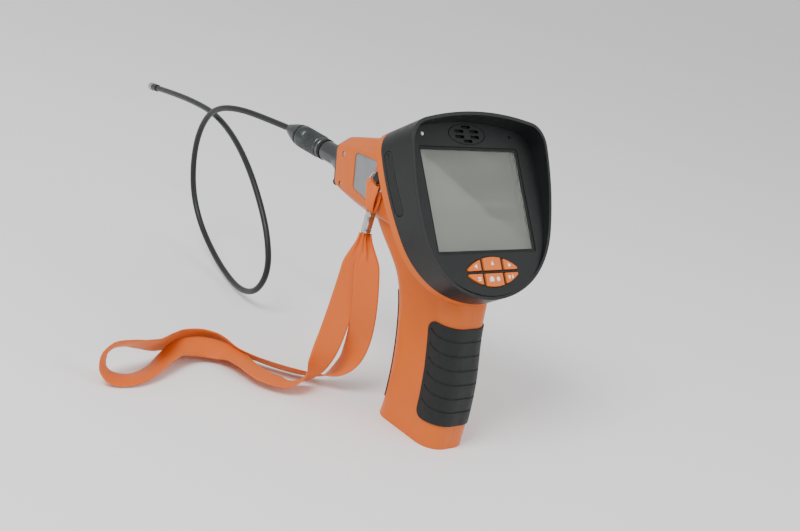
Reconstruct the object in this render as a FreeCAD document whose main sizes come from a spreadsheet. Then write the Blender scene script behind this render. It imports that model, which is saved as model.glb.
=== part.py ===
import FreeCAD, Part
import Sketcher
import math
import os

from FreeCAD import Matrix, Placement, Rotation, Vector

# Handheld inspection camera. Millimetres. The origin is the middle of the grip, +Z is up,
# +Y runs forward along the barrel to the probe, and +X is the user's right.

os.makedirs("parts", exist_ok=True)
doc = FreeCAD.newDocument("inspection_camera")
sheet = doc.addObject("Spreadsheet::Sheet", "sizes")

SIZES = {
    # head
    "head_tilt": 53.3,
    "head_height": 90,
    "wall": 2.2,
    "hood_wall": 1.9,
    "ledge_wall": 3.5,
    "joint_depth": 14,
    "flange_depth": 4.5,
    "hood_height": 13,
    "rim_bottom": -1.6,
    "bezel_thick": 2,
    "window_wide": 76,
    "window_tall": 57,
    "recess_wide": 79.5,
    "recess_tall": 60.5,
    "glass_thick": 1.2,
    "lcd_wide": 76.9,
    "lcd_tall": 61.5,
    "lcd_thick": 3.6,
    "board_wide": 92,
    "board_tall": 52,
    "board_thick": 1.6,
    "screw_head_radius": 2.5,
    "screw_core_radius": 1.25,
    "speaker_wide": 28,
    "speaker_tall": 9.6,
    "speaker_thick": 3.6,
    "led_radius": 1.2,
    "mic_radius": 2,
    "mic_thick": 1.8,
    # keys
    "key_arc_radius": 34.4,
    "key_gap": 0.35,
    "key_lip": 0.5,
    "key_proud": 1.0,
    "key_board_wide": 40,
    "key_board_tall": 14.5,
    "dome_radius": 2,
    "dome_thick": 0.8,
    # port door
    "port_long": 36,
    "port_tall": 6.6,
    "door_gap": 0.3,
    "door_thick": 2,
    # grip
    "grip_half_width": 16,
    "grip_corner": 12,
    "pad_proud": 0.9,
    "strip_proud": 0.6,
    "cell_radius": 9.2,
    "cell_long": 65,
    "holder_wall": 1.6,
    # nose and connector
    "nose_lean": 15,
    "probe_height": 70,
    "nose_face": 99.6,
    "cone_end": 118,
    "socket_radius": 6.3,
    "socket_end": 131.3,
    "thread_radius": 5.1,
    "thread_end": 138,
    "plug_radius": 3.9,
    "nut_start": 133.6,
    "nut_end": 157,
    "nut_radius": 7.2,
    "nut_bore_radius": 5.5,
    "nut_neck_radius": 3.8,
    "sleeve_end": 170.5,
    "neck_radius": 3.4,
    "probe_radius": 2.05,
    "tip_radius": 2.9,
    "tip_long": 5,
    "collar_long": 6,
    # wrist strap
    "ribbon_wide": 15,
    "ribbon_thick": 0.5,
    "clip_wire_radius": 0.8,
    "crimp_wide": 6,
    "crimp_deep": 7.4,
    "crimp_tall": 13,
}
for number, (alias, value) in enumerate(SIZES.items(), start=1):
    sheet.set(f"A{number}", alias)
    sheet.set(f"B{number}", str(value))
    sheet.setAlias(f"B{number}", alias)
doc.recompute()
size = sheet.get

ORIGIN = Vector(0, 0, 0)
UP = Vector(0, 0, 1)
FORWARD = Vector(0, 1, 0)
RIGHT = Vector(1, 0, 0)
FAR = 400

# The head's own frame: its origin is the middle of the bezel face, y runs up the screen
# and z comes out of the screen towards the user.
HEAD = Placement(Vector(0, 0, size("head_height")), Rotation(RIGHT, size("head_tilt")))
nodes = []


# ---------------------------------------------------------------- helpers

def keep(part, name):
    part.Label = name
    nodes.append(part)
    return part


def solid_node(name, shape, placement=None):
    """A sub-part whose shape is worked out from the sheet's values."""
    part = doc.addObject("Part::Feature", name)
    part.Shape = shape
    part.Placement = (placement or Placement()).multiply(shape.Placement)
    return keep(part, name)


def body_node(name, placement):
    part = doc.addObject("PartDesign::Body", name)
    part.Placement = placement
    return keep(part, name)


def sketch_on(body, name, role="XY_Plane"):
    plane = next(f for f in body.Origin.OriginFeatures if f.Role == role)
    sketch = body.newObject("Sketcher::SketchObject", name)
    sketch.AttachmentSupport = [(plane, "")]
    sketch.MapMode = "FlatFace"
    return sketch


def draw_box(sketch, wide, tall):
    """A rectangle centred on the sketch's origin, bound to two expressions."""
    corners = [Vector(-1, -1, 0), Vector(1, -1, 0), Vector(1, 1, 0), Vector(-1, 1, 0)]
    first = sketch.GeometryCount
    for i in range(4):
        sketch.addGeometry(Part.LineSegment(corners[i], corners[(i + 1) % 4]), False)
    for i in range(4):
        sketch.addConstraint(Sketcher.Constraint("Coincident", first + i, 2, first + (i + 1) % 4, 1))
    for i in (0, 2):
        sketch.addConstraint(Sketcher.Constraint("Horizontal", first + i))
    for i in (1, 3):
        sketch.addConstraint(Sketcher.Constraint("Vertical", first + i))
    sketch.addConstraint(Sketcher.Constraint("Symmetric", first, 1, first + 2, 1, -1, 1))
    across = sketch.addConstraint(Sketcher.Constraint("Distance", first, 2.0))
    upward = sketch.addConstraint(Sketcher.Constraint("Distance", first + 1, 2.0))
    sketch.setExpression(f"Constraints[{across}]", wide)
    sketch.setExpression(f"Constraints[{upward}]", tall)


def draw_circle(sketch, radius, x=0.0, y=0.0):
    index = sketch.addGeometry(Part.Circle(Vector(x, y, 0), UP, 1.0), False)
    sketch.addConstraint(Sketcher.Constraint("DistanceX", -1, 1, index, 3, x))
    sketch.addConstraint(Sketcher.Constraint("DistanceY", -1, 1, index, 3, y))
    limit = sketch.addConstraint(Sketcher.Constraint("Radius", index, 1.0))
    sketch.setExpression(f"Constraints[{limit}]", radius)


def pad(body, sketch, length, name):
    feature = body.newObject("PartDesign::Pad", name)
    feature.Profile = sketch
    feature.setExpression("Length", length)
    body.Tip = feature
    return feature


def pocket_through(body, sketch, name):
    """Cuts a sketch through the whole of its body, and checks that it cut something."""
    doc.recompute()
    before = body.Shape.Volume
    feature = body.newObject("PartDesign::Pocket", name)
    feature.Profile = sketch
    feature.Type = 1
    feature.Midplane = True
    body.Tip = feature
    doc.recompute()
    if body.Shape.Volume >= before - 1e-6:
        raise RuntimeError(f"{body.Label}: {name} cuts nothing")
    return feature


def in_head(x, y, z):
    return HEAD.multiply(Placement(Vector(x, y, z), Rotation()))


def block(low, high):
    return Part.makeBox(high[0] - low[0], high[1] - low[1], high[2] - low[2], Vector(*low))


def prism(wire, depth, along=UP):
    return Part.Face(wire).extrude(along * depth)


def turned(points):
    """A solid of revolution about the probe's axis, from (distance forward, radius) points."""
    outline = [Vector(0, y, r) for y, r in points]
    wire = Part.makePolygon(outline + [outline[0]])
    solid = Part.Face(wire).revolve(ORIGIN, FORWARD, 360)
    solid.translate(Vector(0, 0, size("probe_height")))
    return solid


def rounded(points, radius):
    """A closed wire through flat points, with each corner replaced by a tangent arc."""
    edges = []
    count = len(points)
    starts = []
    ends = []
    middles = []
    for i in range(count):
        corner = points[i]
        back = (points[i - 1] - corner).normalize()
        ahead = (points[(i + 1) % count] - corner).normalize()
        half = back.getAngle(ahead) / 2
        reach = radius / math.tan(half)
        inward = (back + ahead).normalize()
        centre = corner + inward * (radius / math.sin(half))
        starts.append(corner + back * reach)
        ends.append(corner + ahead * reach)
        middles.append(centre - inward * radius)
    for i in range(count):
        edges.append(Part.Arc(starts[i], middles[i], ends[i]).toShape())
        edges.append(Part.LineSegment(ends[i], starts[(i + 1) % count]).toShape())
    return Part.Wire(edges)


# ---------------------------------------------------------------- head outline

TOP_RADIUS = 200.0
CORNER_RADIUS = 15.0
SIDE_RADIUS = 150.0
FLANK_RADIUS = 45.0
FOOT_RADIUS = 62.0
TOP_CENTRE = Vector(0, 46.8 - TOP_RADIUS, 0)
SIDE_CENTRE = Vector(-94.8, 14, 0)
FOOT_CENTRE = Vector(0, 5.8, 0)


def meeting(first, reach_first, second, reach_second, side):
    """The point at two given distances from two centres, on the given side of the line between them."""
    line = second - first
    gap = line.Length
    along = (reach_first ** 2 - reach_second ** 2 + gap ** 2) / (2 * gap)
    across = math.sqrt(reach_first ** 2 - along ** 2)
    unit = line * (1 / gap)
    normal = Vector(-unit.y, unit.x, 0)
    return first + unit * along + normal * (across * side)


CORNER_CENTRE = meeting(
    TOP_CENTRE, TOP_RADIUS - CORNER_RADIUS, SIDE_CENTRE, SIDE_RADIUS - CORNER_RADIUS, -1)
FLANK_CENTRE = meeting(
    SIDE_CENTRE, SIDE_RADIUS - FLANK_RADIUS, FOOT_CENTRE, FOOT_RADIUS - FLANK_RADIUS, -1)


def past(centre, through, radius):
    return centre + (through - centre).normalize() * radius


def head_wire(inset, level):
    """The head's outline, an inset inside it, at a level along the screen's normal."""
    corner_top = past(TOP_CENTRE, CORNER_CENTRE, TOP_RADIUS - inset)
    corner_side = past(SIDE_CENTRE, CORNER_CENTRE, SIDE_RADIUS - inset)
    side_flank = past(SIDE_CENTRE, FLANK_CENTRE, SIDE_RADIUS - inset)
    flank_foot = past(FOOT_CENTRE, FLANK_CENTRE, FOOT_RADIUS - inset)
    corner_middle = past(CORNER_CENTRE, CORNER_CENTRE + (corner_top - CORNER_CENTRE).normalize()
                         + (corner_side - CORNER_CENTRE).normalize(), CORNER_RADIUS - inset)
    side_middle = past(SIDE_CENTRE, (corner_side + side_flank) * 0.5, SIDE_RADIUS - inset)
    flank_middle = past(FLANK_CENTRE, (side_flank + flank_foot) * 0.5, FLANK_RADIUS - inset)

    def left(point):
        return Vector(-point.x, point.y, point.z)

    top = TOP_CENTRE + Vector(0, TOP_RADIUS - inset, 0)
    foot = FOOT_CENTRE - Vector(0, FOOT_RADIUS - inset, 0)
    arcs = [
        (left(corner_top), top, corner_top),
        (corner_top, corner_middle, corner_side),
        (corner_side, side_middle, side_flank),
        (side_flank, flank_middle, flank_foot),
        (flank_foot, foot, left(flank_foot)),
        (left(flank_foot), left(flank_middle), left(side_flank)),
        (left(side_flank), left(side_middle), left(corner_side)),
        (left(corner_side), left(corner_middle), left(corner_top)),
    ]
    wire = Part.Wire([Part.Arc(*arc).toShape() for arc in arcs])
    wire.translate(Vector(0, 0, level))
    return wire


def head_prism(inset, low, high):
    return prism(head_wire(inset, low), high - low)


# ---------------------------------------------------------------- orange body: outer and inner forms

# Grip sections: height, rear and front at the middle, half width beyond the straight grip's.
GRIP_SECTIONS = [
    (-50, -31.8, 19.6, 0),
    (-36, -31.5, 19.1, 0),
    (-23.5, -30.6, 20.0, 0),
    (-7, -28.1, 22.5, 0),
    (9, -24.2, 26.4, 0),
    (20, -21.8, 29.8, 0.4),
    (29, -20.2, 33.6, 1.2),
    (37, -17.6, 39.0, 2.4),
    (45, -12.0, 46.5, 4.0),
    (53, -5.0, 54.5, 5.4),
    (64, 4.0, 63.0, 6.0),
]


def grip_form(offset, bottom=None):
    """The grip's outer form grown by an offset, or a shrunken core for a negative one."""
    wires = []
    for height, rear, front, wider in GRIP_SECTIONS:
        half = size("grip_half_width") + wider + offset
        low = rear - offset
        high = front + offset
        corners = [Vector(-half, low, height), Vector(half, low, height),
                   Vector(half, high, height), Vector(-half, high, height)]
        wires.append(rounded(corners, size("grip_corner") + offset))
    form = Part.makeLoft(wires, True)
    if bottom is not None:
        form = form.cut(block((-FAR, -FAR, -FAR), (FAR, FAR, bottom)))
    return form


# Barrel stations: forward distance, half width, underside, top, top of the flat side.
BARREL_STATIONS = [
    (20, 28.0, 53.0, 103.0, 96.0),
    (42, 26.2, 53.5, 100.5, 93.5),
    (62, 24.0, 54.0, 98.0, 90.5),
    (84, 21.2, 55.0, 94.5, 87.0),
]
NOSE_STATION = (18.6, -16.0, 17.0, 11.5)
SIDE_BOTTOM = 61.0


def barrel_section(half, low, high, side_low, side_high, inset):
    half -= inset
    top_half = 8.5 - 0.4 * inset
    low_half = 0.55 * half
    return [
        Vector(-low_half, 0, low + inset), Vector(low_half, 0, low + inset),
        Vector(half, 0, side_low + 0.4 * inset), Vector(half, 0, side_high - 0.4 * inset),
        Vector(top_half, 0, high - inset), Vector(-top_half, 0, high - inset),
        Vector(-half, 0, side_high - 0.4 * inset), Vector(-half, 0, side_low + 0.4 * inset),
    ]


NOSE_CENTRE = Vector(0, size("nose_face"), 72)
NOSE_FRAME = Placement(NOSE_CENTRE, Rotation(RIGHT, -size("nose_lean")))


def nose_wire(inset, forward):
    half, low, high, side_high = NOSE_STATION
    side_low = SIDE_BOTTOM - NOSE_CENTRE.z
    wire = rounded(barrel_section(half, low, high, side_low, side_high, inset), 4.0)
    wire.translate(Vector(0, forward, 0))
    wire.Placement = NOSE_FRAME.multiply(wire.Placement)
    return wire


def barrel_form(inset, front_wall=0.0):
    wires = []
    for forward, half, low, high, side_high in BARREL_STATIONS:
        wire = rounded(barrel_section(half, low, high, SIDE_BOTTOM, side_high, inset), 4.0)
        wire.translate(Vector(0, forward, 0))
        wires.append(wire)
    wires.append(nose_wire(inset, -front_wall))
    return Part.makeLoft(wires, True)


JOINT = -size("joint_depth")
FLANGE = JOINT - size("flange_depth")


def bowl_form(inset):
    """The back of the head, narrowing from the flange to the barrel."""
    start = head_wire(3.5 + inset, FLANGE + 0.5)
    shrink = Matrix()
    shrink.scale(0.74, 0.74, 1)
    middle = head_wire(3.5 + inset, 0).transformGeometry(shrink)
    middle.translate(Vector(0, 5, FLANGE - 10))
    narrow = Matrix()
    narrow.scale(0.46, 0.48, 1)
    end = head_wire(3.5 + inset, 0).transformGeometry(narrow)
    end.translate(Vector(0, 10, FLANGE - 24))
    form = Part.makeLoft([start, middle, end], True)
    form.Placement = HEAD
    return form


def place_head(shape):
    shape.Placement = HEAD.multiply(shape.Placement)
    return shape


above_joint = place_head(block((-FAR, -FAR, JOINT), (FAR, FAR, FAR)))
flange_form = place_head(head_prism(0.0, FLANGE, JOINT))
flange_core = place_head(head_prism(size("ledge_wall"), FLANGE - 0.5, JOINT + 1))

wall = size("wall")
outer = barrel_form(0.0).fuse([grip_form(0.0), bowl_form(0.0)])
outer = outer.cut(above_joint).fuse(flange_form)
inner = barrel_form(wall, wall).fuse([grip_form(-wall, -50 + wall), bowl_form(wall)])
inner = inner.cut(above_joint).fuse(flange_core)

# Screw bosses join the two halves across the middle: forward place, height and
# the level of the screw head's seat, out from the middle.
BOSSES = [(10, -38, 14.8), (17, 4, 14.8), (46, 66, 23.4)]
BOSS_RADIUS = 3.2
SEAT_GAP = 0.2
SCREW_START = -4
for forward, height, seat in BOSSES:
    boss = Part.makeCylinder(BOSS_RADIUS, FAR, Vector(-FAR / 2, forward, height), RIGHT)
    inner = inner.cut(boss)

shell = outer.cut(inner)
for forward, height, seat in BOSSES:
    core_hole = Part.makeCylinder(
        size("screw_core_radius"), FAR, Vector(SCREW_START, forward, height), RIGHT)
    sink = Part.makeCylinder(
        size("screw_head_radius") + SEAT_GAP, FAR, Vector(seat, forward, height), RIGHT)
    shell = shell.cut(core_hole).cut(sink)

# The hole in the nose that the probe socket sits in.
NOSE_HOLE_START = 85
nose_hole = Part.makeCylinder(
    size("thread_radius"), 30, Vector(0, NOSE_HOLE_START, size("probe_height")), FORWARD)
shell = shell.cut(nose_hole)

# Shallow recess for the name plate on each side of the barrel.
PLATE_CORNERS = [
    Vector(0, 83.0, 86.4), Vector(0, 77.0, 66.4), Vector(0, 60.5, 64.6), Vector(0, 60.5, 89.0)]
PLATE_CORNER_RADIUS = 2.5
PLATE_DEPTH = 0.9
PLATE_THICK = 0.6
recess_wire = rounded(PLATE_CORNERS, PLATE_CORNER_RADIUS)
recess_wire.translate(RIGHT * (-FAR / 2))
recess_column = prism(recess_wire, FAR, RIGHT)
recess = recess_column.cut(barrel_form(PLATE_DEPTH))
shell = shell.cut(recess)
plates = recess_column.common(barrel_form(PLATE_DEPTH - PLATE_THICK)).cut(barrel_form(PLATE_DEPTH))

# Countersunk dimples for the four screws that hold the nose.
NOSE_SCREWS = [(94.2, 81.0), (90.6, 63.6)]
NOSE_SCREW_RADIUS = 1.5
NOSE_SCREW_CORE = 0.7
NOSE_SCREW_LONG = 1.2
NOSE_SCREW_SEAT = 18.4
NOSE_SCREW_GAP = 0.15
nose_sinks = []
for side in (-1, 1):
    for forward, height in NOSE_SCREWS:
        start = Vector(side * NOSE_SCREW_SEAT, forward, height)
        outward = RIGHT * side
        nose_sinks.append(Part.makeCylinder(NOSE_SCREW_RADIUS + NOSE_SCREW_GAP, 12, start, outward))
        nose_sinks.append(Part.makeCylinder(
            NOSE_SCREW_CORE + NOSE_SCREW_GAP, NOSE_SCREW_LONG + NOSE_SCREW_GAP,
            start - outward * (NOSE_SCREW_LONG + NOSE_SCREW_GAP), outward))
shell = shell.cut(nose_sinks)

left_half = block((-FAR, -FAR, -FAR), (0, FAR, FAR))
right_half = block((0, -FAR, -FAR), (FAR, FAR, FAR))
solid_node("left_shell", shell.common(left_half))
solid_node("right_shell", shell.common(right_half))
solid_node("side_plate_left", plates.common(left_half))
solid_node("side_plate_right", plates.common(right_half))


# ---------------------------------------------------------------- screws

def screw(base, along, head_radius, head_long, core_radius, core_long):
    head = Part.makeCylinder(head_radius, head_long, base, along)
    slot_wide = head_radius * 0.35
    slot = Part.makeBox(head_radius * 1.3, slot_wide, head_long)
    slot.translate(Vector(-head_radius * 0.65, -slot_wide / 2, 0))
    cross = slot.copy()
    cross.rotate(ORIGIN, UP, 90)
    cross = cross.fuse(slot)
    face = Placement(base + along * (head_long * 0.5), Rotation(UP, along))
    cross.Placement = face.multiply(cross.Placement)
    core = Part.makeCylinder(core_radius, core_long, base - along * core_long, along)
    return head.cut(cross).fuse(core)


BODY_SCREW_HEAD = 1.0
body_screws = []
for forward, height, seat in BOSSES:
    body_screws.append(screw(
        Vector(seat, forward, height), RIGHT, size("screw_head_radius"), BODY_SCREW_HEAD,
        size("screw_core_radius"), seat - SCREW_START))
solid_node("body_screws", Part.makeCompound(body_screws))

NOSE_SCREW_HEAD = 0.6
nose_screws = []
for side in (-1, 1):
    for forward, height in NOSE_SCREWS:
        start = Vector(side * NOSE_SCREW_SEAT, forward, height)
        nose_screws.append(screw(
            start, RIGHT * side, NOSE_SCREW_RADIUS, NOSE_SCREW_HEAD, NOSE_SCREW_CORE, NOSE_SCREW_LONG))
solid_node("nose_screws", Part.makeCompound(nose_screws))


# ---------------------------------------------------------------- head: black shell and bezel

LEDGE = -size("bezel_thick")


def head_shell():
    shape = head_prism(0.0, JOINT, size("hood_height") + 3)
    shape = shape.cut(head_prism(size("hood_wall"), LEDGE, FAR))
    shape = shape.cut(head_prism(size("ledge_wall"), JOINT - 1, LEDGE + 1))
    top = TOP_CENTRE.y + TOP_RADIUS
    bottom = FOOT_CENTRE.y - FOOT_RADIUS
    slope = (size("hood_height") - size("rim_bottom")) / (top - bottom)
    reach = 30
    low = size("rim_bottom") - slope * reach
    high = size("hood_height") + slope * reach
    beside = -FAR / 2
    wedge = Part.makePolygon([
        Vector(beside, bottom - reach, low), Vector(beside, top + reach, high),
        Vector(beside, top + reach, FAR), Vector(beside, bottom - reach, FAR),
        Vector(beside, bottom - reach, low)])
    shape = shape.cut(prism(wedge, FAR, RIGHT))
    return shape


PORT_MIDDLE = 11.0
PORT_LEVEL = -8.75


def slot_solid(long, tall, x_low, x_high):
    """A round-ended column along x, centred on the port."""
    half = long / 2
    end = tall / 2
    straight = half - end
    bar = block((x_low, -straight, -end), (x_high, straight, end))
    for place in (-straight, straight):
        bar = bar.fuse(Part.makeCylinder(end, x_high - x_low, Vector(x_low, place, 0), RIGHT))
    bar = bar.removeSplitter()
    bar.translate(Vector(0, PORT_MIDDLE, PORT_LEVEL))
    return bar


port_hole = slot_solid(size("port_long"), size("port_tall"), -70, -40)
head_wall = head_shell().cut(port_hole)
solid_node("head_shell", head_wall, HEAD)


# Key outlines: the two rows form an eye shape, cut into three keys each.
KEY_EDGE_LOWER = -41.8
KEY_EDGE_UPPER = -40.0
KEY_ARC_LOWER = Vector(0, -14.8, 0)
KEY_ARC_UPPER = Vector(0, -67.0, 0)
KEY_SPANS = {"left": (-19.6, -9.4), "middle": (-6.9, 6.9), "right": (9.4, 19.6)}
KEY_ROWS = {"upper": (KEY_EDGE_UPPER, KEY_ARC_UPPER, 1), "lower": (KEY_EDGE_LOWER, KEY_ARC_LOWER, -1)}


def key_wire(row, span, grow):
    edge, centre, side = KEY_ROWS[row]
    start, end = KEY_SPANS[span]
    start -= grow
    end += grow
    edge -= side * grow
    radius = size("key_arc_radius") + grow

    def rim(x):
        return Vector(x, centre.y + side * math.sqrt(radius ** 2 - x ** 2), 0)

    a = Vector(start, edge, 0)
    b = Vector(end, edge, 0)
    middle = rim((start + end) / 2)
    edges = [
        Part.LineSegment(a, b).toShape(),
        Part.LineSegment(b, rim(end)).toShape(),
        Part.Arc(rim(end), middle, rim(start)).toShape(),
        Part.LineSegment(rim(start), a).toShape(),
    ]
    return Part.Wire(edges)


def key_column(row, span, grow, low, high):
    wire = key_wire(row, span, grow)
    wire.translate(Vector(0, 0, low))
    return prism(wire, high - low)


def upright_edges(shape):
    found = []
    for edge in shape.Edges:
        if len(edge.Vertexes) == 2:
            step = edge.Vertexes[1].Point - edge.Vertexes[0].Point
            if abs(step.x) + abs(step.y) < 1e-6:
                found.append(edge)
    return found


KEY_LIP_TOP = LEDGE - 0.3
KEY_LIP_THICK = 0.9
KEY_CORNER = 0.45
KEY_CROWN = 0.3
for row in KEY_ROWS:
    for span in KEY_SPANS:
        cap = key_column(row, span, 0.0, KEY_LIP_TOP - 0.1, size("key_proud"))
        cap = cap.makeFillet(KEY_CORNER, upright_edges(cap))
        crown = [e for e in cap.Edges if e.BoundBox.ZMin > size("key_proud") - 1e-6]
        cap = cap.makeFillet(KEY_CROWN, crown)
        lip = key_column(row, span, size("key_lip"), KEY_LIP_TOP - KEY_LIP_THICK, KEY_LIP_TOP)
        solid_node(f"key_{row}_{span}", cap.fuse(lip).removeSplitter(), HEAD)


LED_PLACE = Vector(-35, 37.1, 0)
MIC_PLACE = Vector(35, 37.1, 0)
SPEAKER_PLACE = Vector(0, 37.8, 0)
SPEAKER_SLOTS = [(0, 4.1), (-6.0, 1.6), (6.0, 1.6), (-6.0, -1.6), (6.0, -1.6), (0, -4.1)]
SLOT_LONG = 7.2
SLOT_TALL = 1.8
SLOT_CORNER = 0.85
RING_WIDE = 14.7
RING_TALL = 6.3
RING_LINE = 0.5
RING_DEPTH = 0.45
MIC_HOLE_RADIUS = 0.8
RECESS_CORNER = 2.0


def rounded_box(wide, tall, radius, low, high, x=0.0, y=0.0):
    half = wide / 2
    rise = tall / 2
    corners = [Vector(x - half, y - rise, low), Vector(x + half, y - rise, low),
               Vector(x + half, y + rise, low), Vector(x - half, y + rise, low)]
    return prism(rounded(corners, radius), high - low)


def ellipse_column(half_wide, half_tall, low, high):
    curve = Part.Ellipse(Vector(SPEAKER_PLACE.x, SPEAKER_PLACE.y, low), half_wide, half_tall)
    return prism(Part.Wire([curve.toShape()]), high - low)


def bezel_panel():
    shape = head_prism(size("hood_wall") + 0.05, LEDGE, 0)
    through_low = LEDGE - 1
    shape = shape.cut(rounded_box(
        size("recess_wide"), size("recess_tall"), RECESS_CORNER, through_low, 1))
    for row in KEY_ROWS:
        for span in KEY_SPANS:
            shape = shape.cut(key_column(row, span, size("key_gap"), through_low, 1))
    for x, y in SPEAKER_SLOTS:
        slot = rounded_box(SLOT_LONG, SLOT_TALL, SLOT_CORNER, through_low, 1, x, SPEAKER_PLACE.y + y)
        shape = shape.cut(slot)
    ring = ellipse_column(RING_WIDE, RING_TALL, -RING_DEPTH, 1)
    ring = ring.cut(ellipse_column(RING_WIDE - RING_LINE, RING_TALL - RING_LINE, -RING_DEPTH, 1))
    led_hole = Part.makeCylinder(size("led_radius") + 0.1, 5, LED_PLACE + Vector(0, 0, through_low))
    mic_hole = Part.makeCylinder(MIC_HOLE_RADIUS, 5, MIC_PLACE + Vector(0, 0, through_low))
    return shape.cut([ring, led_hole, mic_hole])


solid_node("bezel_panel", bezel_panel(), HEAD)


# ---------------------------------------------------------------- display stack

GLASS_LEVEL = -2.4
window = body_node("display_window", in_head(0, 0, GLASS_LEVEL))
outline = sketch_on(window, "window_outline")
draw_box(outline, "sizes.window_wide - 0.1", "sizes.window_tall - 0.1")
pad(window, outline, "sizes.glass_thick", "window_pad")

GASKET_GAP = 0.1
GASKET_THICK = 1.7


def gasket_shape():
    ring = rounded_box(
        size("recess_wide") - GASKET_GAP, size("recess_tall") - GASKET_GAP,
        RECESS_CORNER - GASKET_GAP, 0, GASKET_THICK)
    half = size("window_wide") / 2
    rise = size("window_tall") / 2
    return ring.cut(block((-half, -rise, -1), (half, rise, GASKET_THICK + 1)))


solid_node("display_gasket", gasket_shape(), in_head(0, 0, GLASS_LEVEL))

LCD_MIDDLE = 0.75
lcd = doc.addObject("Part::Box", "lcd_module")
lcd.setExpression("Length", "sizes.lcd_wide")
lcd.setExpression("Width", "sizes.lcd_tall")
lcd.setExpression("Height", "sizes.lcd_thick")
lcd.Placement = in_head(
    -size("lcd_wide") / 2, LCD_MIDDLE - size("lcd_tall") / 2, GLASS_LEVEL - size("lcd_thick"))
keep(lcd, "lcd_module")

speaker = body_node("speaker", in_head(0, SPEAKER_PLACE.y - 0.2, LEDGE - 0.1 - size("speaker_thick")))
outline = sketch_on(speaker, "speaker_outline")
draw_box(outline, "sizes.speaker_wide", "sizes.speaker_tall")
pad(speaker, outline, "sizes.speaker_thick", "speaker_pad")

mic = doc.addObject("Part::Cylinder", "microphone")
mic.setExpression("Radius", "sizes.mic_radius")
mic.setExpression("Height", "sizes.mic_thick")
mic.Placement = in_head(MIC_PLACE.x, MIC_PLACE.y, LEDGE - 0.05 - size("mic_thick"))
keep(mic, "microphone")

led_stem = doc.addObject("Part::Cylinder", "led_stem")
led_stem.setExpression("Radius", "sizes.led_radius")
LED_STEM = 3
led_stem.Height = LED_STEM
led_dome = doc.addObject("Part::Sphere", "led_dome")
led_dome.setExpression("Radius", "sizes.led_radius")
led_dome.Placement = Placement(Vector(0, 0, LED_STEM), Rotation())
led = doc.addObject("Part::Fuse", "indicator_led")
led.Base = led_stem
led.Tool = led_dome
led.Placement = in_head(LED_PLACE.x, LED_PLACE.y, -3.6)
keep(led, "indicator_led")

BOARD_MIDDLE = Vector(-1, 5, 0)
BOARD_LEVEL = JOINT
BOARD_HOLES = [(-40, -20), (40, -20), (-32, 22), (40, 22)]
board = body_node("main_board", in_head(BOARD_MIDDLE.x, BOARD_MIDDLE.y, BOARD_LEVEL))
outline = sketch_on(board, "board_outline")
draw_box(outline, "sizes.board_wide", "sizes.board_tall")
pad(board, outline, "sizes.board_thick", "board_pad")
holes = sketch_on(board, "board_holes")
for x, y in BOARD_HOLES:
    draw_circle(holes, "sizes.screw_core_radius", x, y)
pocket_through(board, holes, "board_pocket")

BOARD_TOP = BOARD_LEVEL + size("board_thick")
board_screws = []
for x, y in BOARD_HOLES:
    place = Vector(x + BOARD_MIDDLE.x, y + BOARD_MIDDLE.y, BOARD_TOP)
    board_screws.append(screw(place, UP, 2.2, 1.4, size("screw_core_radius") - 0.05, 5))
solid_node("board_screws", Part.makeCompound(board_screws), HEAD)

KEY_MIDDLE = -41.2
DOME_TOP = KEY_LIP_TOP - KEY_LIP_THICK - 1.0
DOME_BASE = DOME_TOP - size("dome_thick")
key_board = body_node("key_board", in_head(0, KEY_MIDDLE, DOME_BASE - size("board_thick")))
outline = sketch_on(key_board, "key_board_outline")
draw_box(outline, "sizes.key_board_wide", "sizes.key_board_tall")
pad(key_board, outline, "sizes.board_thick", "key_board_pad")

DOME_PLACES = [(-13.5, -44.6), (0, -45.2), (13.5, -44.6), (-13.5, -37.4), (0, -36.6), (13.5, -37.4)]
domes = []
for x, y in DOME_PLACES:
    base = Part.makeCylinder(size("dome_radius"), size("dome_thick") * 0.5, Vector(x, y, DOME_BASE))
    cap = Part.makeCone(size("dome_radius"), size("dome_radius") * 0.6, size("dome_thick") * 0.5,
                        Vector(x, y, DOME_BASE + size("dome_thick") * 0.5))
    domes.append(base.fuse(cap).removeSplitter())
solid_node("key_domes", Part.makeCompound(domes), HEAD)


# ---------------------------------------------------------------- side port and its door

def port_door():
    ring = head_prism(0.1, -13.5, -4).cut(head_prism(0.1 + size("door_thick"), -14, -3))
    gap = size("door_gap")
    plug = slot_solid(size("port_long") - 2 * gap, size("port_tall") - 2 * gap, -70, -45)
    door = ring.common(plug)
    notch = Part.makeSphere(2.2, Vector(-56.0, PORT_MIDDLE + size("port_long") / 2 - 2.6, PORT_LEVEL))
    return door.cut(notch)


solid_node("port_door", port_door(), HEAD)

SOCKET_FACE = -51.6
CARD_MIDDLE = 22
USB_MIDDLE = 9
JACK_MIDDLE = -1.6


def socket_block(near, far, middle, wide, low, high):
    """A block from near to far behind the sockets' face, centred up the head, above the board."""
    return block((SOCKET_FACE + near, middle - wide / 2, BOARD_TOP + low),
                 (SOCKET_FACE + far, middle + wide / 2, BOARD_TOP + high))


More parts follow.
